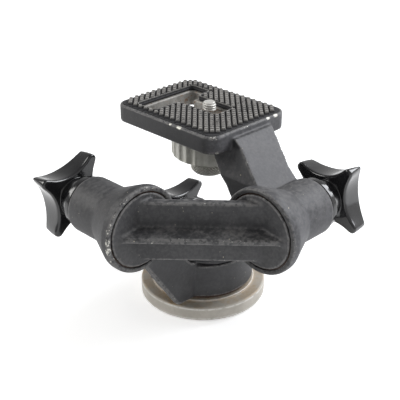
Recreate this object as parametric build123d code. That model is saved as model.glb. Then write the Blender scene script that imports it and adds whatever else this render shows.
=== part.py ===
from build123d import *
import os
from math import cos, sin, tan, pi, radians

# Three way pan tilt head: a pan drum on a round base, a cross link between two
# friction barrels at right angles, and a camera platform on a slanted arm.
# Millimetres. Origin: centre of the base's bottom face, +Z up.
# +Y is the outward direction of the front tilt axis, +X that of the side tilt axis.

# ---------------------------------------------------------------- driving sizes
RUN = 0.05                 # radial running clearance of a shaft in its bore
GAP = 0.3                  # free gap between pieces of different bodies

# base and pan spindle
BASE_R = 30.0
BASE_H = 6.9
BASE_EDGE = 0.6
STEP_R = 24.6
STEP_H = 0.9
SOCKET_R = 4.0             # core radius of the 3/8 inch tripod thread
SOCKET_DEPTH = 9.0
BUSH_R = 6.5
BUSH_ROOF = 1.0
SPINDLE_R = 10.7
SPINDLE_FLANGE_R = 15.0
SPINDLE_FLANGE_H = 3.0
SPINDLE_END_R = 6.0
WEAR_RING_R = 22.5
WEAR_RING_H = 1.0

# pan drum, turret and clamp boss
DRUM_R = 24.0
DRUM_TOP = 26.0
DRUM_SLOPE = 34.0          # lean of the sloped flank from vertical, degrees
DRUM_FOOT = 1.5
COVER_R = 23.2
COVER_H = 1.8
COVER_GROOVE = 0.5
TURRET_R = 15.0
TURRET_TOP = 33.0
TURRET_WELL_R = 12.2
TURRET_WELL_FLOOR = 28.0
CAP_H = 1.6
SPINDLE_WASHER_R = 11.6
SPINDLE_WASHER_H = 0.8
SPINDLE_NUT_R = 9.2
SPINDLE_NUT_H = 3.2
CLAMP_X = 17.3             # pan clamp axis, parallel to +Y
CLAMP_Z = 21.4
CLAMP_BOSS_R = 9.5
CLAMP_BOSS_BACK = -6.0
CLAMP_BOSS_END = 23.2
SHOE_R = 6.5
SHOE_LENGTH = 12.0
SHOE_START = -3.0
CLAMP_BUSH_LENGTH = 7.5
STUD_R = 4.0

# tilt barrels
TILT_H = 56.1              # height of both tilt axes
FRONT_AXIS_X = -49.8       # front tilt axis, parallel to +Y
FRONT_FACE_Y = -14.2
SIDE_AXIS_Y = -49.4        # side tilt axis, parallel to +X
SIDE_FACE_X = -17.2
FLANGE_R = 19.3
FLANGE_RIM = 3.8
BARREL_R = 13.0
CONE_END = 17.8
BARREL_LENGTH = 35.0
BARREL_ROUND = 1.0
RIM_ROUND = 0.5
SEAT_R = 17.1              # mouth radius of the conical seat
SEAT_END_R = 8.6
SEAT_DEPTH = 14.0
LINER_T = 1.2
LINER_INSET = 1.2
BOLT_R = 4.0
BOLT_HEAD_R = 6.0
BOLT_HEAD_H = 2.5
WASHER_R = 11.5
WASHER_H = 0.8

# cross link
PLUG_GAP = 0.3
WEB_T = 4.6
WEB_HEIGHT = 27.3
WEB_SET_FRONT = 1.9        # web face in front of the front disc's centre
WEB_SET_SIDE = 2.0
RIB_DEPTH = 8.2
RIB_EDGE_T = 2.2
RIB_ROOT_T = 5.2
WEB_ROUND = 0.9
PLUG_TAIL = 1.4

# neck and gusset between drum and front barrel
NECK_DEPTH = 27.0
NECK_WALL = 4.0
NECK_TIP_X = -29.8
NECK_FOOT_Z = 9.3
NECK_SHOULDER_X = -21.0
NECK_SHOULDER_Z = 27.6
NECK_TOP_X = -34.0
NECK_TOP_Z = 42.0

# platform
PLATE_X0, PLATE_X1 = -14.0, 36.4
PLATE_Y0, PLATE_Y1 = -19.0, 45.0
PLATE_RISE = 23.2          # tilt axes to the plate's underside
PLATE_T = 8.3
PLATE_BOTTOM = TILT_H + PLATE_RISE
PLATE_TOP = PLATE_BOTTOM + PLATE_T
PLATE_CORNER = 6.5
PLATE_EDGE = 0.7
PAD_RIM = 1.8
PAD_SINK = 1.1             # recess depth that seats the pad
PAD_T = 2.8
PAD_FLOOR = PLATE_TOP - PAD_SINK
PAD_TOP = PAD_FLOOR + PAD_T
PAD_CORNER = 4.5
PAD_FIT = 0.1
ARM_X0 = -6.1
ARM_TOP_X0 = -1.6
ARM_LEAN_LOW = 11.3        # the inner cheek leans between these two, below the plate's underside
ARM_LEAN_HIGH = 1.7
ARM_FOOT_X1 = SIDE_FACE_X + BARREL_LENGTH - GAP
ARM_TOP_X1 = ARM_FOOT_X1 + 5.5
ARM_WALL = 4.0
ARM_SLOPE = 42.2           # rise of the arm's face, degrees
ARM_CREST_Y = -21.0
ARM_CREST_Z = PLATE_TOP - 3.0

# slot, camera screw and its two knobs
SCREW_X = 12.5
SCREW_Y = 8.4
SCREW_R = 3.175            # 1/4 inch camera thread
SCREW_TOP = PAD_TOP + 1.6
SHANK_R = 2.4              # relieved shank that keeps the screw in its slider
SLOT_W = 9.4
WINDOW_W = 12.3
LEG2_Y0 = -1.5
LEG1_Y = 28.6
LEG1_X0, LEG1_X1 = -9.0, 27.2
SLIDER_L = 10.0
SLIDER_FIT = 0.3
SLIDER_TUBE_R = 6.5
SLIDE_WASHER_R = 11.0
SLIDE_WASHER_H = 1.0
WHEEL_R = 17.8
WHEEL_H = 12.2
WHEEL_BOTTOM = PLATE_BOTTOM - 13.8
WHEEL_FLUTES = 22
FLUTE_R = 3.2
FLUTE_DEPTH = 0.7
SCREW_KNOB_R = 8.7
SCREW_KNOB_BOTTOM = WHEEL_BOTTOM - 9.4
KNURLS = 40
KNURL_R = 0.45

# star knobs
KNOB_R = 20.0
KNOB_LOBES = 4
LOBE_W = 4.4
WAIST_R = 10.4
KNOB_STANDOFF = 10.0       # barrel end to the lobes' inner edge
KNOB_T = 9.3
KNOB_TAPER = 0.8
KNOB_CROWN = 2.6
COLLAR_R = 12.6
COLLAR_GAP = 0.3
COLLAR_H = 4.0
NECK_R = 11.0
NECK_TIP_R = 8.9
CREST_W = 1.6
KNOB_ROUND = 0.7
NUT_R = 7.0
NUT_INSET = 1.0
BOLT_TIP = 3.0
FRONT_KNOB_TURN = 35.0
SIDE_KNOB_TURN = 34.6
PAN_KNOB_TURN = 49.5

parts = {}


def keep(name, shape):
    shape.label = name
    parts[name] = shape


def cylinder(r, z0, z1):
    return Pos(0, 0, (z0 + z1) / 2) * Cylinder(r, z1 - z0)


def ring(r_in, r_out, z0, z1):
    return cylinder(r_out, z0, z1) - cylinder(r_in, z0 - 1, z1 + 1)


def revolved(points):
    """Solid turned about Z from (radius, height) points."""
    outline = make_face(Polyline(*[(r, 0, z) for r, z in points], close=True))
    return revolve(outline, Axis.Z, 360)


def prism(points, plane, start, end):
    """Polygon on a plane, extruded between two offsets along its normal."""
    face = make_face(Polyline(*points, close=True))
    body = extrude(face, end - start)
    return plane * (Pos(0, 0, start) * body)


# frames: local Z runs from the flange face out towards the knob
FRONT = Plane(origin=(FRONT_AXIS_X, FRONT_FACE_Y, TILT_H), x_dir=(-1, 0, 0), z_dir=(0, 1, 0))
SIDE = Plane(origin=(SIDE_FACE_X, SIDE_AXIS_Y, TILT_H), x_dir=(0, 1, 0), z_dir=(1, 0, 0))
CLAMP = Plane(origin=(CLAMP_X, CLAMP_BOSS_END - BARREL_LENGTH, CLAMP_Z),
              x_dir=(-1, 0, 0), z_dir=(0, 1, 0))
XZ_PLANE = Plane(origin=(0, 0, 0), x_dir=(1, 0, 0), z_dir=(0, -1, 0))
YZ_PLANE = Plane(origin=(0, 0, 0), x_dir=(0, 1, 0), z_dir=(1, 0, 0))

# ---------------------------------------------------------------- base and spindle
step_top = BASE_H + STEP_H
wear_top = step_top + WEAR_RING_H
drum_bottom = wear_top + GAP


def make_base():
    disc = chamfer(cylinder(BASE_R, 0, BASE_H).edges(), BASE_EDGE)
    disc += cylinder(STEP_R, BASE_H, step_top)
    disc -= cylinder(BUSH_R, -1, step_top + 1)
    disc -= cylinder(SPINDLE_FLANGE_R, step_top - SPINDLE_FLANGE_H, step_top + 1)
    keep("base_disc", disc)
    bush_top = SOCKET_DEPTH + BUSH_ROOF
    keep("tripod_bush", cylinder(BUSH_R, 0, bush_top) - cylinder(SOCKET_R, -1, SOCKET_DEPTH))
    spindle = cylinder(SPINDLE_FLANGE_R, step_top - SPINDLE_FLANGE_H, step_top)
    spindle += cylinder(SPINDLE_R, step_top, TURRET_WELL_FLOOR - RUN)
    nut_top = TURRET_WELL_FLOOR + SPINDLE_WASHER_H + SPINDLE_NUT_H
    spindle += cylinder(SPINDLE_END_R, TURRET_WELL_FLOOR - RUN, nut_top)
    spindle -= cylinder(BUSH_R, 0, bush_top)
    keep("pan_spindle", spindle)
    keep("pan_wear_ring", ring(SPINDLE_R + RUN, WEAR_RING_R, step_top, wear_top))
    washer_z = TURRET_WELL_FLOOR + RUN
    keep("spindle_washer", ring(SPINDLE_END_R, SPINDLE_WASHER_R, washer_z, washer_z + SPINDLE_WASHER_H))
    nut_z = washer_z + SPINDLE_WASHER_H
    nut = extrude(RegularPolygon(SPINDLE_NUT_R, 6), nut_top - nut_z)
    keep("spindle_nut", Pos(0, 0, nut_z) * nut - cylinder(SPINDLE_END_R, 0, TURRET_TOP))


# ---------------------------------------------------------------- tilt barrels
def barrel():
    """Flange rim, cone and cylinder of one friction barrel."""
    outline = [(0, 0), (FLANGE_R - RIM_ROUND, 0), (FLANGE_R, RIM_ROUND), (FLANGE_R, FLANGE_RIM),
               (BARREL_R, CONE_END), (BARREL_R, BARREL_LENGTH - BARREL_ROUND),
               (BARREL_R - BARREL_ROUND, BARREL_LENGTH), (0, BARREL_LENGTH)]
    return revolved(outline)


def seat_slope():
    return (SEAT_R - SEAT_END_R) / SEAT_DEPTH


def seat_radius(depth):
    return SEAT_R - seat_slope() * depth


def barrel_bore():
    """Room for the plug, its liner and the draw bolt."""
    liner_end = SEAT_DEPTH + PLUG_TAIL
    cone = revolved([(0, -1), (SEAT_R, -1), (SEAT_R, LINER_INSET),
                     (seat_radius(LINER_INSET) + LINER_T, LINER_INSET),
                     (SEAT_END_R + LINER_T, SEAT_DEPTH), (SEAT_END_R + LINER_T, liner_end),
                     (0, liner_end)])
    return cone + cylinder(BOLT_R + RUN, 0, BARREL_LENGTH + 1)


def seat_liner():
    """Nylon cone fixed in the seat."""
    inset_r = seat_radius(LINER_INSET)
    return revolved([(inset_r, LINER_INSET), (inset_r + LINER_T, LINER_INSET),
                     (SEAT_END_R + LINER_T, SEAT_DEPTH), (SEAT_END_R, SEAT_DEPTH)])


def plug():
    """Conical plug of the cross link, with its face flush with the flange."""
    tip = SEAT_DEPTH
    return revolved([(0, 0), (SEAT_R - PLUG_GAP - RIM_ROUND, 0), (SEAT_R - PLUG_GAP, RIM_ROUND),
                     (seat_radius(LINER_INSET) - PLUG_GAP, LINER_INSET),
                     (SEAT_END_R - PLUG_GAP, tip), (0, tip)])


def draw_bolt():
    """Bolt held in the plug by its head; its end carries the knob's nut."""
    head_end = PLUG_TAIL + BOLT_HEAD_H
    end = BARREL_LENGTH + KNOB_STANDOFF + KNOB_T - BOLT_TIP
    return cylinder(BOLT_HEAD_R, PLUG_TAIL, head_end) + cylinder(BOLT_R, head_end, end)


def pressure_washer():
    return ring(BOLT_R + GAP, WASHER_R, BARREL_LENGTH - WASHER_H, BARREL_LENGTH)


# ---------------------------------------------------------------- star knobs
def star_outline(radius, waist, width):
    """Lobes with flat ends and concave flanks, as one closed wire."""
    half = width / 2
    edges = []
    step = 360.0 / KNOB_LOBES
    for lobe in range(KNOB_LOBES):
        turn = radians(lobe * step)
        nxt = radians((lobe + 1) * step)
        mid = radians((lobe + 0.5) * step)
        first = (radius * cos(turn) + half * sin(turn), radius * sin(turn) - half * cos(turn))
        second = (radius * cos(turn) - half * sin(turn), radius * sin(turn) + half * cos(turn))
        third = (radius * cos(nxt) + half * sin(nxt), radius * sin(nxt) - half * cos(nxt))
        edges.append(Line(first, second))
        edges.append(ThreePointArc(second, (waist * cos(mid), waist * sin(mid)), third))
    return make_face(Wire(edges))


def star_knob(turn):
    """Moulded knob: collar, conical neck and lobes that narrow towards a low crown."""
    lobe_in = BARREL_LENGTH + KNOB_STANDOFF
    lobe_out = lobe_in + KNOB_T
    collar_in = BARREL_LENGTH + COLLAR_GAP
    collar_out = collar_in + COLLAR_H
    back = Pos(0, 0, lobe_in) * star_outline(KNOB_R, WAIST_R, LOBE_W)
    front = Pos(0, 0, lobe_out + KNOB_CROWN) * star_outline(KNOB_R, WAIST_R, CREST_W)
    star = loft([back, front], ruled=True)
    turned = revolved([(0, lobe_in), (KNOB_R - KNOB_ROUND, lobe_in), (KNOB_R + 1, lobe_in + KNOB_ROUND + 1),
                       (KNOB_R + 1, lobe_in + KNOB_T * 0.45), (KNOB_R - KNOB_TAPER, lobe_out),
                       (KNOB_R * 0.55, lobe_out + KNOB_CROWN * 0.7), (0, lobe_out + KNOB_CROWN)])
    star = Rot(0, 0, turn) * (star & turned)
    collar = chamfer(cylinder(COLLAR_R, collar_in, collar_out).edges(), KNOB_ROUND)
    neck_cone = revolved([(0, collar_out - 1), (NECK_R, collar_out - 1), (NECK_TIP_R, lobe_in - 1),
                          (NECK_TIP_R + 1, lobe_in + 1), (0, lobe_in + 1)])
    body = star + collar + neck_cone
    nut_in = collar_in + NUT_INSET
    body -= cylinder(NUT_R, nut_in, lobe_out - NUT_INSET)
    body -= cylinder(BOLT_R + 2 * GAP, collar_in - 1, nut_in + 1)
    return body


def knob_nut():
    """Threaded metal insert moulded into a knob, blind at its outer end."""
    nut_in = BARREL_LENGTH + COLLAR_GAP + NUT_INSET
    nut_out = BARREL_LENGTH + KNOB_STANDOFF + KNOB_T - NUT_INSET
    blind = BARREL_LENGTH + KNOB_STANDOFF + KNOB_T - BOLT_TIP + GAP
    return cylinder(NUT_R, nut_in, nut_out) - cylinder(BOLT_R + RUN, nut_in - 1, blind)


# ---------------------------------------------------------------- lower casting
def neck():
    """Gusset plate flush with the flange, and the hollow bridge behind it."""
    flange_foot = (FRONT_AXIS_X + 1.7, TILT_H - FLANGE_R + 0.1)
    outline = [flange_foot, (NECK_TIP_X, NECK_FOOT_Z), (-DRUM_R / 2, NECK_FOOT_Z),
               (-DRUM_R / 2, DRUM_TOP), (NECK_SHOULDER_X, NECK_SHOULDER_Z),
               (NECK_TOP_X, NECK_TOP_Z), (FRONT_AXIS_X + BARREL_R / 2, TILT_H - BARREL_R / 2),
               (FRONT_AXIS_X, TILT_H - BARREL_R / 2)]
    block = prism(outline, XZ_PLANE, -(FRONT_FACE_Y + NECK_DEPTH), -FRONT_FACE_Y)
    # the bridge is hollow below its roof and open on its far side
    roof = NECK_WALL * 1.3
    hollow = [(FRONT_AXIS_X - FLANGE_R, NECK_FOOT_Z - 20), (NECK_TIP_X + 4, NECK_FOOT_Z - 20),
              (NECK_TIP_X + 7, NECK_FOOT_Z + 4), (NECK_SHOULDER_X - 1, NECK_SHOULDER_Z - roof),
              (NECK_TOP_X - 1, NECK_TOP_Z - roof), (FRONT_AXIS_X - FLANGE_R, NECK_TOP_Z - roof)]
    block -= prism(hollow, XZ_PLANE, -(FRONT_FACE_Y + NECK_DEPTH + 1), -(FRONT_FACE_Y + NECK_WALL))
    return block


def make_lower_casting():
    drum = cylinder(DRUM_R, drum_bottom, DRUM_TOP - COVER_GROOVE)
    drum += cylinder(COVER_R - 1, DRUM_TOP - COVER_GROOVE - 1, DRUM_TOP)
    # flank sloped back on the side below the side barrel
    lean = radians(DRUM_SLOPE)
    reach = DRUM_TOP - drum_bottom
    wedge = [(DRUM_R, drum_bottom + DRUM_FOOT), (DRUM_R + 20, drum_bottom + DRUM_FOOT),
             (DRUM_R + 20, DRUM_TOP + 20),
             (DRUM_R - (reach + 20) * tan(lean), drum_bottom + DRUM_FOOT + reach + 20)]
    slope_plane = Rot(0, 0, -45) * XZ_PLANE
    drum -= prism(wedge, slope_plane, -2 * DRUM_R, 2 * DRUM_R)
    turret = cylinder(TURRET_R, drum_bottom, TURRET_TOP)
    boss = CLAMP * cylinder(CLAMP_BOSS_R, BARREL_LENGTH - (CLAMP_BOSS_END - CLAMP_BOSS_BACK), BARREL_LENGTH)
    body = drum + turret + boss + neck() + FRONT * barrel()
    body -= FRONT * barrel_bore()
    body -= FRONT * ring(BOLT_R, WASHER_R, BARREL_LENGTH - WASHER_H, BARREL_LENGTH + 1)
    body -= cylinder(SPINDLE_R + RUN, 0, TURRET_TOP + 1)
    body -= cylinder(TURRET_WELL_R, TURRET_WELL_FLOOR, TURRET_TOP + 1)
    shoe_zero = BARREL_LENGTH - CLAMP_BOSS_END
    body -= CLAMP * cylinder(SHOE_R + RUN, shoe_zero + SHOE_START - GAP, BARREL_LENGTH + 1)
    keep("lower_casting", body)
    cover = ring(TURRET_R, COVER_R, DRUM_TOP, DRUM_TOP + COVER_H)
    cover -= CLAMP * cylinder(CLAMP_BOSS_R, -DRUM_R, BARREL_LENGTH + DRUM_R)
    cover -= prism([(-DRUM_R - 2, NECK_SHOULDER_Z + 8), (-DRUM_R - 2, DRUM_TOP - 2), (-DRUM_R / 2, DRUM_TOP - 2),
                    (-DRUM_R / 2, DRUM_TOP), (NECK_SHOULDER_X, NECK_SHOULDER_Z),
                    (NECK_SHOULDER_X, NECK_SHOULDER_Z + 8)],
                   XZ_PLANE, -(FRONT_FACE_Y + NECK_DEPTH), DRUM_R)
    cover -= prism(wedge, slope_plane, -2 * DRUM_R, 2 * DRUM_R)
    keep("pan_cover_ring", cover)
    cap = chamfer(cylinder(TURRET_R, TURRET_TOP, TURRET_TOP + CAP_H).edges().filter_by(GeomType.CIRCLE)
                  .sort_by(Axis.Z)[-1:], CAP_H / 2)
    keep("turret_cap", cap)


def make_pan_clamp():
    shoe_zero = BARREL_LENGTH - CLAMP_BOSS_END
    bush_in = BARREL_LENGTH - CLAMP_BUSH_LENGTH
    bush = ring(STUD_R + RUN, SHOE_R + RUN, bush_in, BARREL_LENGTH)
    keep("pan_lock_bush", CLAMP * bush)
    shoe = CLAMP * cylinder(SHOE_R, shoe_zero + SHOE_START, shoe_zero + SHOE_START + SHOE_LENGTH)
    flat = SPINDLE_R + RUN
    shoe -= Pos(flat - SHOE_R, 0, CLAMP_Z) * Box(2 * SHOE_R, 100, 4 * SHOE_R)
    keep("pan_brake_shoe", shoe)
    stud_in = shoe_zero + SHOE_START + SHOE_LENGTH + 2
    stud_out = BARREL_LENGTH + KNOB_STANDOFF + KNOB_T - BOLT_TIP
    keep("pan_lock_stud", CLAMP * cylinder(STUD_R, stud_in, stud_out))
    knob = CLAMP * star_knob(PAN_KNOB_TURN)
    core = CLAMP * cylinder(NUT_R, BARREL_LENGTH + COLLAR_GAP + NUT_INSET,
                            BARREL_LENGTH + KNOB_STANDOFF + KNOB_T - NUT_INSET)
    keep("pan_lock_knob", knob + core - CLAMP * cylinder(STUD_R, stud_in, stud_out))


# ---------------------------------------------------------------- cross link
def make_cross_link():
    front_in = (FRONT_AXIS_X - WEB_SET_FRONT, FRONT_FACE_Y)
    side_in = (SIDE_FACE_X, SIDE_AXIS_Y - WEB_SET_SIDE)
    run = Vector(side_in[0] - front_in[0], side_in[1] - front_in[1], 0)
    along = run.normalized()
    out = Vector(along.Y, -along.X, 0)
    if out.X + out.Y > 0:
        out = out * -1
    web_plane = Plane(origin=(front_in[0], front_in[1], TILT_H), x_dir=(along.X, along.Y, 0),
                      z_dir=(out.X, out.Y, 0))
    # local X along the web, local Y down or up, local Z outwards
    reach = SEAT_R
    web = web_plane * (Pos(run.length / 2, 0, -WEB_T / 2) * Box(run.length + 2 * reach, WEB_HEIGHT, WEB_T))
    rib_profile = make_face(Polyline((0, -RIB_ROOT_T / 2), (RIB_DEPTH, -RIB_EDGE_T / 2),
                                     (RIB_DEPTH, RIB_EDGE_T / 2), (0, RIB_ROOT_T / 2), close=True))
    rib_plane = Plane(origin=(front_in[0], front_in[1], TILT_H), x_dir=(out.X, out.Y, 0),
                      z_dir=(along.X, along.Y, 0))
    rib = rib_plane * (Pos(0, 0, -reach) * extrude(rib_profile, run.length + 2 * reach))
    body = web + rib
    body = fillet([e for e in body.edges() if abs(e.length - (run.length + 2 * reach)) < 0.01
                   and abs(e.center().Z - TILT_H) > WEB_HEIGHT / 2 - 0.01], WEB_ROUND)
    # the web and rib stop at the two disc faces
    keep_box = Pos(FRONT_AXIS_X - 100, FRONT_FACE_Y - 100, TILT_H) * Box(400, 200, 100)
    keep_side = Pos(SIDE_FACE_X - 100, SIDE_AXIS_Y - 100, TILT_H) * Box(200, 400, 100)
    body = body & keep_box & keep_side
    body += FRONT * plug() + SIDE * plug()
    bolt = draw_bolt()
    for place in (FRONT, SIDE):
        body -= place * cylinder(BOLT_HEAD_R, PLUG_TAIL, PLUG_TAIL + BOLT_HEAD_H)
        body -= place * cylinder(BOLT_R, PLUG_TAIL, SEAT_DEPTH + 1)
    keep("cross_link", body)
    keep("front_draw_bolt", FRONT * bolt)
    keep("side_draw_bolt", SIDE * bolt)


# ---------------------------------------------------------------- upper casting
def plate_body(inset, z0, z1, corner):
    width = PLATE_X1 - PLATE_X0 - 2 * inset
    length = PLATE_Y1 - PLATE_Y0 - 2 * inset
    centre = ((PLATE_X0 + PLATE_X1) / 2, (PLATE_Y0 + PLATE_Y1) / 2)
    return Pos(centre[0], centre[1], z0) * extrude(RectangleRounded(width, length, corner), z1 - z0)


def l_slot(width, z0, z1):
    """Two round-ended legs: one across the back, one forward with the screw in it."""
    half = width / 2
    grow = half - WINDOW_W / 2
    across = Pos((LEG1_X0 + LEG1_X1) / 2, LEG1_Y, z0) * extrude(
        RectangleRounded(LEG1_X1 - LEG1_X0 + 2 * grow, width, half * 0.45), z1 - z0)
    front_end = LEG2_Y0 - grow
    forward = Pos(SCREW_X, (front_end + LEG1_Y) / 2, z0) * extrude(
        RectangleRounded(width, LEG1_Y - front_end, half * 0.8), z1 - z0)
    return across + forward


def inner_lean(offset):
    """What the leaning inner cheek leaves off, moved in by an offset."""
    low = PLATE_BOTTOM - ARM_LEAN_LOW
    high = PLATE_BOTTOM + ARM_LEAN_HIGH
    return [(ARM_X0 + offset, low), (ARM_TOP_X0 + offset, high), (ARM_TOP_X0 + offset, PLATE_TOP + 1),
            (ARM_X0 - 10, PLATE_TOP + 1), (ARM_X0 - 10, low)]


def arm():
    """Channel-section arm: sloped front wall, two cheeks, open at the back."""
    slope = radians(ARM_SLOPE)
    foot_y = SIDE_AXIS_Y + BARREL_R * 0.35
    foot_z = ARM_CREST_Z - (ARM_CREST_Y - foot_y) * tan(slope)
    outline = [(PLATE_Y0 + 1, PLATE_BOTTOM + 0.5), (PLATE_Y0 + 1, ARM_CREST_Z), (ARM_CREST_Y, ARM_CREST_Z),
               (foot_y, foot_z), (foot_y, TILT_H - BARREL_R / 2),
               (SIDE_AXIS_Y + 16.0, TILT_H - 8.5), (SIDE_AXIS_Y + 24.7, TILT_H + 0.8),
               (SIDE_AXIS_Y + 27.6, TILT_H + 5.3), (SIDE_AXIS_Y + 29.2, TILT_H + 8.2),
               (SIDE_AXIS_Y + 33.3, TILT_H + 12.3), (SIDE_AXIS_Y + 39.1, TILT_H + 18.4),
               (SIDE_AXIS_Y + 41.6, PLATE_BOTTOM + 0.5)]
    block = prism(outline, YZ_PLANE, ARM_X0, ARM_TOP_X1)
    # both sides lean outwards from the barrel up to the plate
    trim = [(ARM_TOP_X1 + 10, PLATE_TOP + 1), (ARM_TOP_X1, PLATE_BOTTOM + 4.9), (ARM_FOOT_X1, TILT_H + BARREL_R + 1),
            (ARM_FOOT_X1, TILT_H - 40), (ARM_TOP_X1 + 10, TILT_H - 40)]
    block -= prism(trim, XZ_PLANE, -60, 80)
    block -= prism(inner_lean(0), XZ_PLANE, -60, 80)
    wall = ARM_WALL / sin(slope) * 0.9
    pocket = [(ARM_CREST_Y + wall, ARM_CREST_Z - ARM_WALL), (foot_y + wall + 6, foot_z + 0.5),
              (foot_y + wall + 6, TILT_H - 30), (PLATE_Y1, TILT_H - 30), (PLATE_Y1, PLATE_BOTTOM),
              (ARM_CREST_Y + wall, PLATE_BOTTOM)]
    room = prism(pocket, YZ_PLANE, ARM_X0 + ARM_WALL, ARM_FOOT_X1 - ARM_WALL)
    room -= prism(inner_lean(ARM_WALL), XZ_PLANE, -60, 80)
    block -= room
    return block


def make_upper_casting():
    plate = plate_body(0, PLATE_BOTTOM, PLATE_TOP, PLATE_CORNER)
    plate = fillet(plate.edges().group_by(Axis.Z)[-1] + plate.edges().group_by(Axis.Z)[0], PLATE_EDGE)
    plate += arm() + SIDE * barrel()
    plate -= plate_body(PAD_RIM - PAD_FIT, PAD_FLOOR, PAD_TOP + 1, PAD_CORNER)
    plate -= l_slot(SLOT_W, PLATE_BOTTOM - 20, PAD_TOP)
    plate -= SIDE * barrel_bore()
    plate -= SIDE * ring(BOLT_R, WASHER_R, BARREL_LENGTH - WASHER_H, BARREL_LENGTH + 1)
    # the lock wheel turns just clear of the arm's cheeks
    plate -= Pos(SCREW_X, SCREW_Y, 0) * cylinder(WHEEL_R + 2 * GAP, WHEEL_BOTTOM - 1, WHEEL_BOTTOM + WHEEL_H + GAP)
    keep("upper_casting", plate)
    pad = plate_body(PAD_RIM, PAD_FLOOR, PAD_TOP, PAD_CORNER)
    pad -= l_slot(WINDOW_W, PAD_FLOOR - 1, PAD_TOP + 1)
    keep("platform_pad", pad)


# ---------------------------------------------------------------- camera screw group
def make_camera_screw():
    at_screw = Pos(SCREW_X, SCREW_Y, 0)
    washer_top = PLATE_BOTTOM - GAP
    wheel_top = WHEEL_BOTTOM + WHEEL_H
    slider = Pos(0, 0, (wheel_top + PAD_FLOOR - GAP) / 2) * Box(
        SLOT_W - 2 * SLIDER_FIT, SLIDER_L, PAD_FLOOR - GAP - wheel_top)
    slider += cylinder(SLIDER_TUBE_R, WHEEL_BOTTOM + GAP, washer_top)
    slider -= cylinder(SHANK_R + RUN, 0, PAD_TOP)
    washer_z = washer_top - SLIDE_WASHER_H
    plate_side = Box(SLOT_W - 2 * SLIDER_FIT, SLIDER_L, 100) + cylinder(SLIDER_TUBE_R, 0, 100)
    slide_washer = cylinder(SLIDE_WASHER_R, washer_z, washer_top) - Pos(0, 0, PAD_TOP) * plate_side
    slide_washer -= cylinder(SLIDER_TUBE_R, 0, 100)
    keep("slot_slider", at_screw * slider)
    keep("slider_washer", at_screw * slide_washer)
    wheel = chamfer(cylinder(WHEEL_R, WHEEL_BOTTOM, wheel_top - GAP).edges(), 0.6)
    for i in range(WHEEL_FLUTES):
        a = 2 * pi * i / WHEEL_FLUTES
        r = WHEEL_R + FLUTE_R - FLUTE_DEPTH
        wheel -= Pos(r * cos(a), r * sin(a), 0) * cylinder(FLUTE_R, WHEEL_BOTTOM - 1, wheel_top + 1)
    wheel -= cylinder(SLIDER_TUBE_R + 2 * RUN, 0, 100)
    keep("camera_lock_wheel", at_screw * wheel)
    knob_top = WHEEL_BOTTOM - GAP
    screw = chamfer(cylinder(SCREW_R, PAD_FLOOR, SCREW_TOP).edges().sort_by(Axis.Z)[-1:], 0.5)
    screw += cylinder(SHANK_R, SCREW_KNOB_BOTTOM + 1, PAD_FLOOR)
    keep("camera_screw", at_screw * screw)
    knob = cylinder(SCREW_KNOB_R, SCREW_KNOB_BOTTOM, knob_top)
    knob = fillet(knob.edges().filter_by(GeomType.CIRCLE).sort_by(Axis.Z)[:1], 1.6)
    for i in range(KNURLS):
        a = 2 * pi * i / KNURLS
        knob -= Pos(SCREW_KNOB_R * cos(a), SCREW_KNOB_R * sin(a), 0) * cylinder(
            KNURL_R, SCREW_KNOB_BOTTOM - 1, knob_top + 1)
    knob -= cylinder(SHANK_R, SCREW_KNOB_BOTTOM + 1, knob_top + 1)
    keep("camera_screw_knob", at_screw * knob)


make_base()
make_lower_casting()
make_pan_clamp()
make_cross_link()
make_upper_casting()
make_camera_screw()
for side, place, turn in (("front", FRONT, FRONT_KNOB_TURN), ("side", SIDE, SIDE_KNOB_TURN)):
    keep(side + "_seat_liner", place * seat_liner())
    keep(side + "_pressure_washer", place * pressure_washer())
    keep(side + "_tilt_knob", place * star_knob(turn))
    keep(side + "_knob_nut", place * knob_nut())

os.makedirs("parts", exist_ok=True)
for name, shape in parts.items():
    export_step(shape, "parts/" + name + ".step")
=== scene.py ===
import bpy
import bmesh
import math
import numpy as np
from mathutils import Matrix, Vector


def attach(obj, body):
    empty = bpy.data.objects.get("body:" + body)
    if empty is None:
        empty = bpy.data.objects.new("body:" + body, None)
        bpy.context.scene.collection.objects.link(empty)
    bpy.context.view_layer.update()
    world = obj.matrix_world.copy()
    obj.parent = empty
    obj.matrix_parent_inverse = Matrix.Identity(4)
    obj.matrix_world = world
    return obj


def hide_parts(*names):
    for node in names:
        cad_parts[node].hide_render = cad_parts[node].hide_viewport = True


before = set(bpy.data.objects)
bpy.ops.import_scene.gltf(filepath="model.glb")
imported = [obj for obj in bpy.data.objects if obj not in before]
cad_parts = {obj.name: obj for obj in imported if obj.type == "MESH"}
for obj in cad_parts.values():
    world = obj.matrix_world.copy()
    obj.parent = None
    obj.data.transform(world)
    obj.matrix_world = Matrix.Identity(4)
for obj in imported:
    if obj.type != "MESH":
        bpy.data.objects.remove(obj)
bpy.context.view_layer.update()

# ---------------------------------------------------------------- base disc
# A turned aluminium disc that sits on the tripod's top plate. It was never painted,
# so it has oxidised to a tan grey, with a bright rim where it has rubbed.
MM = 0.001
IN_MM = 1000.0
BASE_R = 30.0
BASE_H = 6.9
BASE_EDGE = 0.6
STEP_R = 24.6
STEP_H = 0.9
STEP_DRAFT = 0.1
SPINDLE_FLANGE_R = 15.0
SPINDLE_FLANGE_H = 3.0
BUSH_R = 6.5
DISC_ROUND = 0.35
DISC_STEPS = 240
DISC_WEAR_ROUNDS = 3
DISC_WEAR_DEPTH = 0.03
ON_AXIS = 1e-6
EDGE_SHARE = 0.45
NO_LIMIT = 1e6
OXIDE_DULL = (0.42, 0.395, 0.35)
OXIDE_PALE = (0.52, 0.49, 0.44)
OXIDE_PIT = (0.30, 0.27, 0.23)
OXIDE_STAIN = (0.40, 0.30, 0.19)
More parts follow.
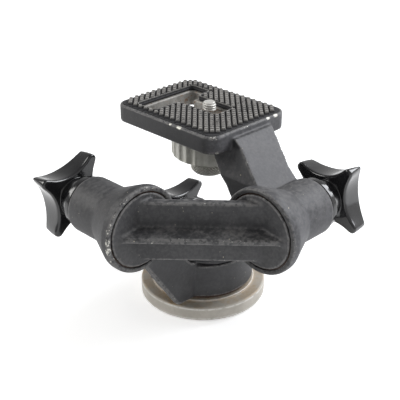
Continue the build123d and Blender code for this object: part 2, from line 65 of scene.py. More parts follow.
OLD_GRIME = (0.26, 0.175, 0.08)
FOOT_RUST = (0.20, 0.10, 0.06)
RUST_SPOT = (0.17, 0.09, 0.05)
RUBBED_BRIGHT = (0.85, 0.85, 0.83)
STEEL_DULL = (0.40, 0.39, 0.37)
STEEL_PALE = (0.58, 0.57, 0.55)
NYLON_DARK = (0.035, 0.016, 0.010)
NYLON_PALE = (0.075, 0.040, 0.024)


class Link:
    """A node's socket that takes part in sums."""

    def __init__(self, graph, socket):
        self.graph, self.socket = graph, socket

    def sum(self, operation, *others):
        return self.graph.node("ShaderNodeMath", {"operation": operation}, dict(enumerate((self,) + others)))

    def __add__(self, other):
        return self.sum("ADD", other)

    def __mul__(self, other):
        return self.sum("MULTIPLY", other)

    def __sub__(self, other):
        return self.sum("SUBTRACT", other)

    def __rsub__(self, other):
        return self.graph.node("ShaderNodeMath", {"operation": "SUBTRACT"}, {0: other, 1: self})

    __radd__ = __add__
    __rmul__ = __mul__

    def most(self, other):
        return self.sum("MAXIMUM", other)

    def step(self, low, high):
        """0 below low, 1 above high, smooth between."""
        return self.graph.node("ShaderNodeMapRange", {"interpolation_type": "SMOOTHSTEP"},
                               {"Value": self, "From Min": low, "From Max": high})


class Graph:
    """A node tree that is written as calls."""

    def __init__(self, tree):
        self.tree = tree

    def node(self, kind, settings=None, values=None, out=0):
        made = self.tree.nodes.new(kind)
        for key, value in (settings or {}).items():
            setattr(made, key, value)
        for key, value in (values or {}).items():
            if isinstance(value, Link):
                self.tree.links.new(value.socket, made.inputs[key])
            else:
                made.inputs[key].default_value = value
        return Link(self, made.outputs[out]) if made.outputs else made


class Finish(Graph):
    """A surface finish in object coordinates, with sizes in millimetres."""

    def __init__(self, name):
        self.material = bpy.data.materials.new(name)
        self.material.use_nodes = True
        super().__init__(self.material.node_tree)
        self.tree.nodes.clear()
        self.at = self.node("ShaderNodeTexCoord", out=3)
        self.facing = self.node("ShaderNodeTexCoord", out=1)

    def noise(self, size, detail=2.0, roughness=0.5, stretch=None):
        at = self.at
        if stretch:
            at = self.node("ShaderNodeVectorMath", {"operation": "MULTIPLY"}, {0: at, 1: stretch})
        return self.node("ShaderNodeTexNoise", {}, {"Vector": at, "Scale": IN_MM / size, "Detail": detail,
                                                    "Roughness": roughness})

    def specks(self, spacing, radius, share):
        """Round specks of one radius, on a share of the cells of a random grid."""
        grid = {"feature": "F1"}
        values = {"Vector": self.at, "Scale": IN_MM / spacing}
        near = self.node("ShaderNodeTexVoronoi", grid, values)
        tint = self.node("ShaderNodeTexVoronoi", grid, values, out=1)
        pick = self.node("ShaderNodeSeparateColor", {}, {0: tint})
        edge = radius / spacing
        spot = 1 - near.step(edge * 0.7, edge)
        return spot * pick.step(1 - share, 1.0001 - share)

    def along(self, axis):
        """The place along an axis, in millimetres."""
        return self.node("ShaderNodeSeparateXYZ", {}, {0: self.at}, out="XYZ".index(axis)) * IN_MM

    def faces(self, axis):
        """How far the surface faces along an axis, from -1 to 1."""
        return self.node("ShaderNodeSeparateXYZ", {}, {0: self.facing}, out="XYZ".index(axis))

    def worn(self):
        """How sharply the surface turns outwards, kept on the mesh."""
        return self.node("ShaderNodeAttribute", {"attribute_name": "edge"}, {}, out=2)

    def near(self, x, y, z, radius):
        """1 at a point, falling to 0 at a radius, in millimetres."""
        gap = self.node("ShaderNodeVectorMath", {"operation": "DISTANCE"},
                        {0: self.at, 1: (x * MM, y * MM, z * MM)}, out=1)
        return 1 - (gap * IN_MM).step(radius * 0.2, radius)

    def mix(self, share, first, second):
        """The first colour, giving way to the second by a share."""
        pair = [c if isinstance(c, Link) else c + (1.0,) for c in (first, second)]
        return self.node("ShaderNodeMix", {"data_type": "RGBA", "blend_type": "MIX"},
                         {0: share, 6: pair[0], 7: pair[1]}, out=2)

    def bump(self, height, depth):
        """Relief of a depth in millimetres."""
        return self.node("ShaderNodeBump", {}, {"Height": height, "Distance": depth * MM, "Strength": 1.0})

    def close(self, colour, roughness, normal=None, metallic=0.0, **fixed):
        """The finished material. A fixed value is named as its socket is, with _ for a space."""
        values = {"Base Color": colour, "Roughness": roughness, "Metallic": metallic}
        values.update({key.replace("_", " "): value for key, value in fixed.items()})
        if normal:
            values["Normal"] = normal
        surface = self.node("ShaderNodeBsdfPrincipled", {}, values)
        self.node("ShaderNodeOutputMaterial", {}, {"Surface": surface})
        return self.material


def dress(node, material):
    """A finish on a carried-over node."""
    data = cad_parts[node].data
    data.materials.clear()
    data.materials.append(material)


def shown(name, data):
    """A new object in the scene."""
    made = bpy.data.objects.new(name, data)
    bpy.context.scene.collection.objects.link(made)
    return made


def piece(name, data, material, body, node):
    """A finished mesh becomes a piece of the head, in place of a node's plain solid."""
    data.name = name
    data.materials.clear()
    data.materials.append(material)
    made = shown(name, data)
    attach(made, body)
    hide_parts(node)


def bent(start, corner, end, steps):
    """Points on a round bend from start to end, drawn towards the corner between them."""
    made = []
    for i in range(steps + 1):
        t = i / steps
        made.append(start * (1 - t) ** 2 + corner * 2 * t * (1 - t) + end * t ** 2)
    return made


def eased(points, radius, steps=5):
    """An open profile with its inner corners rounded."""
    line = [Vector(p) for p in points]
    made = [line[0]]
    for before, corner, after in zip(line, line[1:], line[2:]):
        back, on = before - corner, after - corner
        cut = min(radius, back.length * EDGE_SHARE, on.length * EDGE_SHARE)
        made += bent(corner + back.normalized() * cut, corner, corner + on.normalized() * cut, steps)
    made.append(line[-1])
    return made


def spaced(line, gap):
    """The same profile with no stretch longer than a gap."""
    made = [line[0]]
    for a, b in zip(line, line[1:]):
        count = max(1, math.ceil((b - a).length / gap))
        made += [a.lerp(b, i / count) for i in range(1, count + 1)]
    return made


def soft_least(a, b, width):
    """The smaller of two values, rounded over a width where they meet."""
    meet = max(width - abs(a - b), 0.0) / width
    return min(a, b) - meet * meet * width / 4


def skinned(rings, place):
    """A closed skin over rings of points, in millimetres. A first or last ring of one point closes
    the skin there; otherwise the last ring joins the first."""
    build = bmesh.new()
    made = [[build.verts.new(place @ (Vector(p) * MM)) for p in ring] for ring in rings]
    pairs = list(zip(made, made[1:]))
    if len(made[0]) > 1 and len(made[-1]) > 1:
        pairs.append((made[-1], made[0]))
    for low, high in pairs:
        count = max(len(low), len(high))
        for i in range(count):
            j = (i + 1) % count
            if len(low) == 1:
                build.faces.new((low[0], high[j], high[i]))
            elif len(high) == 1:
                build.faces.new((low[i], low[j], high[0]))
            else:
                build.faces.new((low[i], low[j], high[j], high[i]))
    bmesh.ops.recalc_face_normals(build, faces=build.faces)
    for face in build.faces:
        face.smooth = True
    data = bpy.data.meshes.new("skin")
    build.to_mesh(data)
    build.free()
    return data


def spun(rows, place, steps=0, outline=None, blend=1.0):
    """Turns (radius, height, shaped) rows about a local Z axis, in steps or round an outline of
    (angle, radius) that the shaped rows keep inside."""
    if outline is None:
        outline = [(2 * math.pi * i / steps, NO_LIMIT) for i in range(steps)]
    rings = []
    for radius, height, shaped in rows:
        if radius < ON_AXIS:
            rings.append([(0, 0, height)])
            continue
        ring = []
        for angle, limit in outline:
            r = soft_least(radius, limit, blend) if shaped else radius
            ring.append((r * math.cos(angle), r * math.sin(angle), height))
        rings.append(ring)
    return skinned(rings, place)


def relaxed(points, edges, rounds):
    """Each point drawn halfway to its neighbours' mean, over and over."""
    count = np.bincount(edges.ravel(), minlength=len(points))[:, None]
    for _ in range(rounds):
        total = np.empty_like(points)
        for axis in range(3):
            total[:, axis] = (np.bincount(edges[:, 0], points[edges[:, 1], axis], len(points))
                              + np.bincount(edges[:, 1], points[edges[:, 0], axis], len(points)))
        points = points + 0.5 * (total / count - points)
    return points


def read_all(items, field, width, kind=float):
    """One row of numbers for each point or edge of a mesh."""
    values = np.empty(len(items) * width, kind)
    items.foreach_get(field, values)
    return values.reshape(-1, width)


def mark_edges(data, rounds, depth):
    """Writes how far each point stands out from a relaxed copy of the mesh."""
    points = read_all(data.vertices, "co", 3)
    edges = read_all(data.edges, "vertices", 2, int)
    out = ((points - relaxed(points, edges, rounds)) * read_all(data.vertices, "normal", 3)).sum(1)
    mark = data.attributes.new("edge", "FLOAT", "POINT")
    mark.data.foreach_set("value", (out / (depth * MM)).astype(np.float32))


oxide = Finish("oxidised_aluminium")
height = oxide.along("Z")
cloud = oxide.noise(9, 4.0, 0.6)
fleck = oxide.noise(1.3, 3.0, 0.6)
on_top = height.step(BASE_H - 0.5, BASE_H - 0.2)
stain = (cloud.step(0.36, 0.62) * 0.6 + fleck.step(0.45, 0.75) * 0.3) * on_top
colour = oxide.mix(cloud.step(0.3, 0.7), OXIDE_DULL, OXIDE_PALE)
colour = oxide.mix(fleck.step(0.55, 0.8) * 0.25, colour, OXIDE_PIT)
colour = oxide.mix(stain, colour, OXIDE_STAIN)
grime = oxide.near(-29, -12, 7, 15) * cloud.step(0.3, 0.6)
colour = oxide.mix(grime * on_top * 0.8, colour, OLD_GRIME)
foot = (1 - height.step(0.2, 1.2)) * oxide.noise(3, 2.0).step(0.5, 0.62)
colour = oxide.mix(foot * 0.5, colour, FOOT_RUST)
rust = oxide.specks(3.1, 0.28, 0.3)
colour = oxide.mix(rust * 0.5, colour, RUST_SPOT)
rubbed = oxide.worn().step(0.35, 1.0) * oxide.noise(2.2, 3.0).step(0.3, 0.5)
colour = oxide.mix(rubbed, colour, RUBBED_BRIGHT)
oxide_finish = oxide.close(colour, 0.6 - rubbed * 0.25 + fleck * 0.12, oxide.bump(fleck, 0.04),
                           0.3 + rubbed * 0.5)

step_top = BASE_H + STEP_H
outline = [(BUSH_R, 0), (BASE_R - BASE_EDGE, 0), (BASE_R, BASE_EDGE), (BASE_R, BASE_H - BASE_EDGE),
           (BASE_R - BASE_EDGE, BASE_H), (STEP_R + STEP_DRAFT, BASE_H), (STEP_R, step_top),
           (SPINDLE_FLANGE_R, step_top), (SPINDLE_FLANGE_R, step_top - SPINDLE_FLANGE_H),
           (BUSH_R, step_top - SPINDLE_FLANGE_H), (BUSH_R, 0)]
rows = [(p.x, p.y, False) for p in spaced(eased(outline, DISC_ROUND), 1.0)][:-1]
disc = spun(rows, Matrix(), DISC_STEPS)
mark_edges(disc, DISC_WEAR_ROUNDS, DISC_WEAR_DEPTH)
piece("turned_base_disc", disc, oxide_finish, "root", "base_disc")

steel = Finish("turned_steel")
ring_mark = steel.noise(0.7, 2.0, 0.5)
colour = steel.mix(ring_mark, STEEL_DULL, STEEL_PALE)
steel_finish = steel.close(colour, 0.3 + ring_mark * 0.2, steel.bump(ring_mark, 0.02), 1.0)
nylon = Finish("worn_nylon")
wear = nylon.noise(2.0, 3.0)
colour = nylon.mix(wear, NYLON_DARK, NYLON_PALE)
nylon_finish = nylon.close(colour, 0.55, nylon.bump(wear, 0.05))
for node in ("tripod_bush", "pan_spindle", "spindle_washer", "spindle_nut"):
    dress(node, steel_finish)
dress("pan_wear_ring", nylon_finish)

# ---------------------------------------------------------------- lower casting
# One aluminium die casting: pan drum, flat gusset, hollow bridge and the front barrel.
# It is sprayed with a coarse matt black that has chipped on the rims and holds dust.
TILT_H = 56.1
FRONT_AXIS_X = -49.8
FRONT_FACE_Y = -14.2
FLANGE_R = 19.3
CAST_NET = 0.5
CAST_ROUNDS = 3
WEAR_ROUNDS = 24
WEAR_DEPTH = 0.25
WELD = 1e-6
PAINT = (0.020, 0.020, 0.022)
DUST = (0.19, 0.185, 0.18)
CRUMB = (0.50, 0.45, 0.34)
CHIPPED = (0.58, 0.57, 0.52)


def finished_mesh(holder):
    """The plain mesh of an object with its modifiers applied. The object goes."""
    data = bpy.data.meshes.new_from_object(holder.evaluated_get(bpy.context.evaluated_depsgraph_get()))
    bpy.data.objects.remove(holder)
    return data


def cast_skin(node):
    """A copy of a node's solid as one closed skin with the eased edges of a die casting."""
    build = bmesh.new()
    build.from_mesh(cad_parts[node].data)
    bmesh.ops.remove_doubles(build, verts=build.verts, dist=WELD)
    data = bpy.data.meshes.new("rough")
    build.to_mesh(data)
    build.free()
    rough = shown("rough", data)
    net = rough.modifiers.new("net", "REMESH")
    net.mode = "VOXEL"
    net.voxel_size = CAST_NET * MM
    skin = finished_mesh(rough)
    edges = read_all(skin.edges, "vertices", 2, int)
    points = relaxed(read_all(skin.vertices, "co", 3), edges, CAST_ROUNDS)
    skin.vertices.foreach_set("co", points.ravel())
    skin.update()
    skin.shade_smooth()
    mark_edges(skin, WEAR_ROUNDS, WEAR_DEPTH)
    return skin


def paint(name, dust, chips, tone=PAINT, bare_and_painted_light=None):
    """Coarse matt black paint. dust is a share, chips are (x, y, z, radius, share) places where it has
    come off, and the last argument is a function that adds what is worn through, and any painted shade and
    sheen, to the colour and the metal."""
    skin = Finish(name)
    grain = skin.noise(0.55, 2.0, 0.6)
    coarse = skin.noise(1.6, 3.0, 0.6)
    cloud = skin.noise(14, 4.0, 0.6)
    colour = skin.mix(cloud.step(0.3, 0.7), tone, tuple(c * 1.5 for c in tone))
    lying = skin.faces("Z").step(-0.2, 1.0) * 0.75 + 0.25
    film = lying * (cloud * 0.6 + coarse * 0.8).step(0.55, 0.95) * dust
    edge = skin.worn()
    # paint rubbed lighter on outward edges, and with it a painted highlight along the rims
    rub_and_edge_highlight = edge.step(0.4, 1.2) * coarse.step(0.3, 0.6)
    colour = skin.mix(film.most(rub_and_edge_highlight * 0.6), colour, DUST)
    speck = skin.specks(4.5, 0.30, 0.30).most(skin.specks(2.6, 0.20, 0.25) * 0.7)
    speck = speck.most(skin.specks(1.4, 0.12, 0.15) * 0.5)
    colour = skin.mix(speck * 0.85, colour, CRUMB)
    flake = skin.noise(1.1, 3.0, 0.7)
    gone = edge.step(0.8, 1.1) * flake.step(0.66, 0.70)
    for x, y, z, radius, share in chips:
        there = skin.near(x, y, z, radius).step(0.0, 0.4) * edge.step(0.55, 0.8)
        bar = 0.72 - share * 0.45
        gone = gone.most(there * flake.step(bar, bar + 0.06))
    colour = skin.mix(gone, colour, CHIPPED)
    metal = gone * 0.6
    if bare_and_painted_light:
        colour, metal = bare_and_painted_light(skin, colour, metal)
    rough = 0.50 + film * 0.25 + grain * 0.12 - gone * 0.1
    return skin.close(colour, rough, skin.bump(grain * 0.6 + coarse * 0.4 - gone * 0.5, 0.10), metal)


front_rim = [(FRONT_AXIS_X + FLANGE_R * math.cos(math.radians(a)), FRONT_FACE_Y - 0.1,
              TILT_H + FLANGE_R * math.sin(math.radians(a)), size, share)
             for a, size, share in ((71, 1.4, 0.4), (83, 1.5, 0.4), (118, 1.8, 0.35), (139, 1.6, 0.4),
                                    (150, 1.6, 0.4), (160, 2.0, 0.5), (176, 2.2, 0.5), (189, 2.4, 0.5),
                                    (204, 1.6, 0.4))]
lower_paint = paint("lower_casting_paint", 0.28, front_rim)
lower_skin = cast_skin("lower_casting")
piece("lower_casting_skin", lower_skin, lower_paint, "pan", "lower_casting")
dress("pan_cover_ring", lower_paint)
dress("turret_cap", lower_paint)

# ---------------------------------------------------------------- pan lock
# A nylon shoe is pressed on the spindle by a steel stud that turns in a brass bush. The
# stud is moulded into a black four-lobed knob of glossy plastic.
CLAMP_X = 17.3
CLAMP_Z = 21.4
CLAMP_BOSS_END = 23.2
BARREL_LENGTH = 35.0
KNOB_R = 20.0
LOBE_W = 4.4
WAIST_R = 10.4
KNOB_STANDOFF = 10.0
KNOB_T = 9.3
KNOB_TAPER = 0.8
KNOB_CROWN = 2.6
COLLAR_R = 12.6
COLLAR_GAP = 0.3
COLLAR_H = 4.0
NECK_R = 11.0
NECK_TIP_R = 8.9
BACK_ROUND = 1.1
CREST_W = 1.6
CREST_ROUND = 0.6
CROWN_POWER = 1.5
CROWN_INSET = 0.1
NUT_POCKET_R = 7.0
STUD_HOLE_R = 4.6
COLLAR_EDGE = 0.7
COLLAR_DISH = 0.9
KNOB_WALL = 1.0
PAN_KNOB_TURN = 49.5
LOBES = 4
LOBE_PROUD = 0.3
LOBE_END_POINTS = 6
FLANK_POINTS = 30
SOFTEN_ROUNDS = 8
FLAT_RINGS = 6
ROUND_RINGS = 7
SIDE_RINGS = 10
CREST_RINGS = 6
PLASTIC_DEEP = (0.006, 0.006, 0.007)
PLASTIC_HAZE = (0.014, 0.014, 0.015)
PLASTIC_DUST = (0.25, 0.24, 0.22)
BRASS_DULL = (0.40, 0.27, 0.11)
BRASS_BRIGHT = (0.62, 0.45, 0.20)


def star_outline(half, inset=0.0, reach=KNOB_R):
    """Points round a knob whose lobes are twice half wide, drawn in by an inset along its normals."""
    middle = math.pi / LOBES
    way = Vector((math.cos(middle), math.sin(middle)))
    # the flank's circle passes both lobe corners and the waist, its centre on the flank's middle line
    corner = Vector((reach, half))
    away = (corner.length_squared - WAIST_R ** 2) / (2 * (corner.dot(way) - WAIST_R))
    centre = way * away
    start = math.atan2(corner.y - centre.y, corner.x - centre.x)
    sweep = 2 * ((math.atan2(-way.y, -way.x) - start + math.pi) % (2 * math.pi) - math.pi)
    one = [complex(reach, half * (2 * i / LOBE_END_POINTS - 1)) for i in range(LOBE_END_POINTS)]
    for i in range(FLANK_POINTS):
        angle = start + sweep * i / FLANK_POINTS
        one.append(complex(centre.x + (away - WAIST_R) * math.cos(angle),
                           centre.y + (away - WAIST_R) * math.sin(angle)))
    ring = np.concatenate([np.array(one) * np.exp(2j * middle * lobe) for lobe in range(LOBES)])
    for _ in range(SOFTEN_ROUNDS):
        ring = ring * 0.5 + (np.roll(ring, 1) + np.roll(ring, -1)) * 0.25
    ring = ring * (reach + LOBE_PROUD) / abs(ring).max()
    along = np.roll(ring, -1) - np.roll(ring, 1)
    return ring + inset * 1j * along / abs(along)


def star_knob(axis_place, turn):
    """Collar, conical neck and four lobes that narrow from a flat back towards a low crown."""
    inner, outer = BARREL_LENGTH + KNOB_STANDOFF, BARREL_LENGTH + KNOB_STANDOFF + KNOB_T
    collar_in = BARREL_LENGTH + COLLAR_GAP
    collar_out = collar_in + COLLAR_H

    def crown(ring):
        return outer + KNOB_CROWN * (1 - (abs(ring) / KNOB_R) ** CROWN_POWER) - CROWN_INSET

    def lifted(ring, height):
        return [(p.real, p.imag, z) for p, z in zip(ring, height + 0 * abs(ring))]

    first = star_outline(LOBE_W / 2, BACK_ROUND)
    unit = first / abs(first)
    rim = COLLAR_R - COLLAR_EDGE
    pocket_end, pocket_start = outer - KNOB_WALL, collar_in + KNOB_WALL
    hollow = [(0, pocket_end), (NUT_POCKET_R, pocket_end), (NUT_POCKET_R, pocket_start),
              (STUD_HOLE_R, pocket_start), (STUD_HOLE_R, collar_in), (rim, collar_in),
              (rim, collar_out - KNOB_WALL), (NECK_R, collar_out - COLLAR_DISH), (NECK_TIP_R, inner)]
    rings = []
    for p in spaced(eased(hollow, COLLAR_EDGE), 1.2):
        rings.append(lifted(unit * p.x, p.y) if p.x else [(0, 0, p.y)])
    for i in range(1, FLAT_RINGS):
        ring = unit * NECK_TIP_R * (1 - i / FLAT_RINGS) + first * i / FLAT_RINGS
        rings.append(lifted(ring, inner))
    for i in range(ROUND_RINGS + 1):
        turned = math.radians(90 * i / ROUND_RINGS)
        ring = star_outline(LOBE_W / 2, BACK_ROUND * (1 - math.sin(turned)))
        rings.append(lifted(ring, inner + BACK_ROUND * (1 - math.cos(turned))))
    for i in range(1, SIDE_RINGS):
        share = i / SIDE_RINGS
        half = LOBE_W / 2 + (CREST_W / 2 - LOBE_W / 2) * share
        ring = star_outline(half, 0, KNOB_R - KNOB_TAPER * share ** 2)
        low, high = inner + BACK_ROUND, crown(ring) - CREST_ROUND
        rings.append(lifted(ring, low + (high - low) * share))
    for i in range(CREST_RINGS + 1):
        turned = math.radians(90 * i / CREST_RINGS)
        ring = star_outline(CREST_W / 2, CREST_ROUND * (1 - math.cos(turned)), KNOB_R - KNOB_TAPER)
        rings.append(lifted(ring, crown(ring) - CREST_ROUND * (1 - math.sin(turned))))
    for share in (0.85, 0.65, 0.45, 0.25, 0.1):
        rings.append(lifted(ring * share, crown(ring * share)))
    rings.append([(0, 0, outer + KNOB_CROWN - CROWN_INSET)])
    return skinned(rings, axis_place @ Matrix.Rotation(math.radians(turn), 4, "Z"))


# moulded plastic has a deep gloss with a thin haze, a few fine scuffs and specks of dust
moulded = Finish("knob_plastic")
haze_and_sheen = moulded.noise(7, 3.0, 0.6)
scuff = moulded.noise(0.8, 4.0, 0.7, (1, 0.25, 1.6))
scratch = scuff.step(0.66, 0.74)
dust = moulded.specks(3.4, 0.14, 0.3)
colour = moulded.mix(haze_and_sheen.step(0.4, 0.8), PLASTIC_DEEP, PLASTIC_HAZE)
colour = moulded.mix((dust * 0.6).most(scratch * 0.12), colour, PLASTIC_DUST)
knob_finish = moulded.close(colour, 0.13 + haze_and_sheen * 0.12 + scratch * 0.15 + dust * 0.3,
                            moulded.bump(scuff * 0.3 + haze_and_sheen, 0.03), Coat_Weight=0.3, Coat_Roughness=0.08)
along_y = Matrix(((-1, 0, 0, 0), (0, 0, 1, 0), (0, 1, 0, 0), (0, 0, 0, 1)))
along_x = Matrix(((0, 0, 1, 0), (1, 0, 0, 0), (0, 1, 0, 0), (0, 0, 0, 1)))
clamp_y = CLAMP_BOSS_END - BARREL_LENGTH
clamp_place = Matrix.Translation((CLAMP_X * MM, clamp_y * MM, CLAMP_Z * MM)) @ along_y
piece("pan_lock_star", star_knob(clamp_place, PAN_KNOB_TURN), knob_finish, "pan_knob",
      "pan_lock_knob")
brass = Finish("turned_brass")
tarnish = brass.noise(1.5, 3.0)
brass_finish = brass.close(brass.mix(tarnish, BRASS_DULL, BRASS_BRIGHT), 0.3 + tarnish * 0.25,
                           brass.bump(tarnish, 0.02), 1.0)
dress("pan_lock_bush", brass_finish)
dress("pan_brake_shoe", nylon_finish)
dress("pan_lock_stud", steel_finish)

# ---------------------------------------------------------------- cross link
# The web that joins the two barrels, cast in one with its rib and the two conical
# plugs. It holds more dust than the rest of the head.
web_chips = [(-35.5, -39.0, 57.0, 2.4, 0.6), (-24.0, -52.0, 57.0, 2.0, 0.6)]
link_paint = paint("cross_link_paint", 0.55, web_chips)
piece("cross_link_skin", cast_skin("cross_link"), link_paint, "link", "cross_link")
for node in ("front_draw_bolt", "side_draw_bolt", "front_pressure_washer", "side_pressure_washer"):
    dress(node, steel_finish)
for node in ("front_seat_liner", "side_seat_liner"):
    dress(node, nylon_finish)

# ---------------------------------------------------------------- tilt knobs
# Two more four-lobed knobs of the same glossy plastic. Each has a brass nut moulded in,
# and draws its plug into the cone of its barrel by a long bolt.
SIDE_AXIS_Y = -49.4
SIDE_FACE_X = -17.2
FRONT_KNOB_TURN = 35.0
SIDE_KNOB_TURN = 34.6
front_place = Matrix.Translation((FRONT_AXIS_X * MM, FRONT_FACE_Y * MM, TILT_H * MM)) @ along_y
side_place = Matrix.Translation((SIDE_FACE_X * MM, SIDE_AXIS_Y * MM, TILT_H * MM)) @ along_x
piece("front_tilt_star", star_knob(front_place, FRONT_KNOB_TURN), knob_finish, "front_knob",
      "front_tilt_knob")
piece("side_tilt_star", star_knob(side_place, SIDE_KNOB_TURN), knob_finish, "side_knob",
      "side_tilt_knob")
dress("front_knob_nut", brass_finish)
dress("side_knob_nut", brass_finish)

# ---------------------------------------------------------------- upper casting
# Platform, slanted hollow arm and side barrel in one die casting. The arm's sloped face
# carries a painted grey sheen and its cheeks painted shade, and the slot in the platform has lost its paint.
PLATE_BOTTOM = 79.3
PLATE_TOP = 87.6
PAD_FLOOR = 86.5
SCREW_X = 12.5
SCREW_Y = 8.4
# x0, x1, y0 and y1 of the bare metal round each leg of the slot
BARE_BACK = (-10.5, 28.5, 21.5, 36.0)
BARE_FRONT = (5.0, 20.0, -3.5, 30.5)
BARE_FADE = 0.5
ARM_PAINT = (0.025, 0.025, 0.028)
PAINTED_CHEEK_SHADE = (0.010, 0.010, 0.011)
PAINTED_SHEEN = (0.15, 0.15, 0.165)
BARE_DULL = (0.20, 0.19, 0.175)
BARE_PALE = (0.36, 0.35, 0.33)
SLOT_RUST = (0.19, 0.085, 0.03)


def between(value, low, high):
    """1 between two limits, fading to 0 just inside them."""
    return value.step(low, low + BARE_FADE) * (1 - value.step(high - BARE_FADE, high))


def arm_painted_light(skin, colour):
    """Painted shade darkens the arm's cheeks, and a painted grey sheen lightens its forward-facing sloped
    face.
    """
    forward = skin.faces("Y") * -1.0
    # painted shade: faces that look neither forward nor up are darkened
    cheek_shade_mask = (1 - forward.step(0.2, 0.6)) * (1 - skin.faces("Z").step(0.1, 0.4))
    colour = skin.mix(cheek_shade_mask * 0.7, colour, PAINTED_CHEEK_SHADE)
    cloud = skin.noise(4, 3.0, 0.6) * 0.6 + skin.noise(1.6, 3.0, 0.6) * 0.6
    # painted sheen: faces turned forward are lightened in clouds to a bluish grey
    haze_and_sheen = forward.step(0.4, 0.8) * cloud.step(0.3, 0.9)
    return skin.mix(haze_and_sheen * 0.3, colour, PAINTED_SHEEN)


def slot_metal_and_arm_light(skin, colour, metal):
    """Bare, stained metal inside the slot and on the floor that the pad leaves open, over the arm's painted
    shade and painted sheen.
    """
    x, y, z = (skin.along(axis) for axis in "XYZ")
    level = z.step(PLATE_BOTTOM + 0.5, PLATE_BOTTOM + 1.2) * (1 - z.step(PAD_FLOOR + 0.3, PAD_FLOOR + 0.6))
    back, front = (between(x, x0, x1) * between(y, y0, y1) for x0, x1, y0, y1 in (BARE_BACK, BARE_FRONT))
    open_metal = level * back.most(front)
    worn = skin.mix(skin.noise(4, 3.0, 0.6).step(0.3, 0.7), BARE_DULL, BARE_PALE)
    rust = skin.noise(2.0, 3.0, 0.7).step(0.55, 0.68)
    worn = skin.mix(rust * 0.8, worn, SLOT_RUST)
    # the arm's painted shade and painted sheen first, then the bare metal of the slot
    colour = skin.mix(open_metal, arm_painted_light(skin, colour), worn)
    return colour, metal * (1 - open_metal) + open_metal * 0.5


plate_chips = [(-13.6, 1.5, PLATE_TOP - 0.2, 1.7, 0.95), (-13.8, 7.0, PLATE_TOP, 1.0, 0.8),
               (27.9, -18.8, PLATE_TOP - 0.2, 1.6, 0.95), (22.7, -18.9, PLATE_TOP - 0.4, 1.3, 0.9),
               (8.0, -19.0, PLATE_TOP - 0.5, 1.4, 0.4), (-11.3, -17.5, PLATE_TOP, 2.2, 0.5),
               (-6.7, -19.0, 84.3, 1.4, 0.7), (-8.6, -19.0, 82.3, 1.6, 0.7), (-10.1, -19.0, 80.0, 1.4, 0.6)]
upper_paint = paint("upper_casting_paint", 0.5, plate_chips, ARM_PAINT, slot_metal_and_arm_light)
upper_skin = cast_skin("upper_casting")
piece("upper_casting_skin", upper_skin, upper_paint, "platform", "upper_casting")

# ---------------------------------------------------------------- platform pad
# A moulded rubber sheet set into the platform, with staggered rows of blunt teeth and an
# L-shaped opening for the camera screw.
PAD_X0, PAD_X1 = -12.2, 34.6
PAD_Y0, PAD_Y1 = -17.2, 43.2
PAD_TOP = 89.3
PAD_CORNER = 4.5
TOOTH_H = 1.45
STAGGER = 1.78
TEETH_X, TEETH_Y = 25, 33
TOOTH_FOOT = 1.2
TOOTH_TIP = 0.62
LEG1_X0, LEG1_X1 = -9.0, 27.2
LEG1_Y = 28.6
LEG2_Y0 = -1.5
WINDOW_W = 12.3
WINDOW_ROUND = 2.4
LIP_W = 0.4
LIP_ROUND = 2.9
LIP_EDGE = 0.3
LIP_DROP = 0.35
LIP_WELD = 1e-7
HAIR = 0.02
TOOTH_CLEAR = 0.5
CORNER_GAP = 2.3
RUBBER_DEEP = (0.010, 0.010, 0.012)
RUBBER_WORN = (0.026, 0.026, 0.028)
TIP_GREY = (0.27, 0.26, 0.245)
CRUST = (0.34, 0.20, 0.11)


def corners(points, radius, steps=6):
    """A closed outline with every corner rounded, outer and inner alike."""
    ring = [Vector(p) for p in points]
    made = []
    for i, corner in enumerate(ring):
        back = (ring[i - 1] - corner).normalized()
        on = (ring[(i + 1) % len(ring)] - corner).normalized()
        made += bent(corner + back * radius, corner, corner + on * radius, steps)
    return made


def sheet_between(outer, inner, z0, z1, bevel=0.0):
    """A flat sheet between two outlines, with thickness."""
    curve = bpy.data.curves.new("sheet", "CURVE")
    curve.dimensions = "2D"
    curve.fill_mode = "BOTH"
    for ring in (outer, inner):
        spline = curve.splines.new("POLY")
        spline.points.add(len(ring) - 1)
        for point, p in zip(spline.points, ring):
            point.co = (p.x * MM, p.y * MM, 0, 1)
        spline.use_cyclic_u = True
    curve.extrude = ((z1 - z0) / 2 - bevel) * MM
    curve.bevel_depth = bevel * MM
    curve.bevel_resolution = 2
    curve.offset = -bevel * MM
    data = finished_mesh(shown("sheet", curve))
    data.transform(Matrix.Translation((0, 0, (z0 + z1) / 2 * MM)))
    return data


def window(grow):
    """The opening's outline: one leg across the back, one forward to the screw."""
    half = WINDOW_W / 2 + grow
    x0, x1 = LEG1_X0 - grow, LEG1_X1 + grow
    y0, y1 = LEG1_Y - half, LEG1_Y + half
    left, right = SCREW_X - half, SCREW_X + half
    front = LEG2_Y0 - grow
    return [Vector(p) for p in ((x0, y1), (x0, y0), (left, y0), (left, front), (right, front),
                                (right, y0), (x1, y0), (x1, y1))]


edge_ring = corners([(PAD_X0, PAD_Y0), (PAD_X1, PAD_Y0), (PAD_X1, PAD_Y1), (PAD_X0, PAD_Y1)], PAD_CORNER, 8)
sheet_top = PAD_TOP - TOOTH_H
sheet = sheet_between(edge_ring, corners(window(0), WINDOW_ROUND), PAD_FLOOR + HAIR, sheet_top)
lip_ring = corners(window(LIP_W), LIP_ROUND)
lip_hole = corners(window(HAIR), WINDOW_ROUND)
lip = sheet_between(lip_ring, lip_hole, sheet_top - LIP_EDGE, PAD_TOP - LIP_DROP, LIP_EDGE)
join = bmesh.new()
join.from_mesh(sheet)
join.from_mesh(lip)
bmesh.ops.remove_doubles(join, verts=join.verts, dist=LIP_WELD)
join.to_mesh(sheet)
join.free()

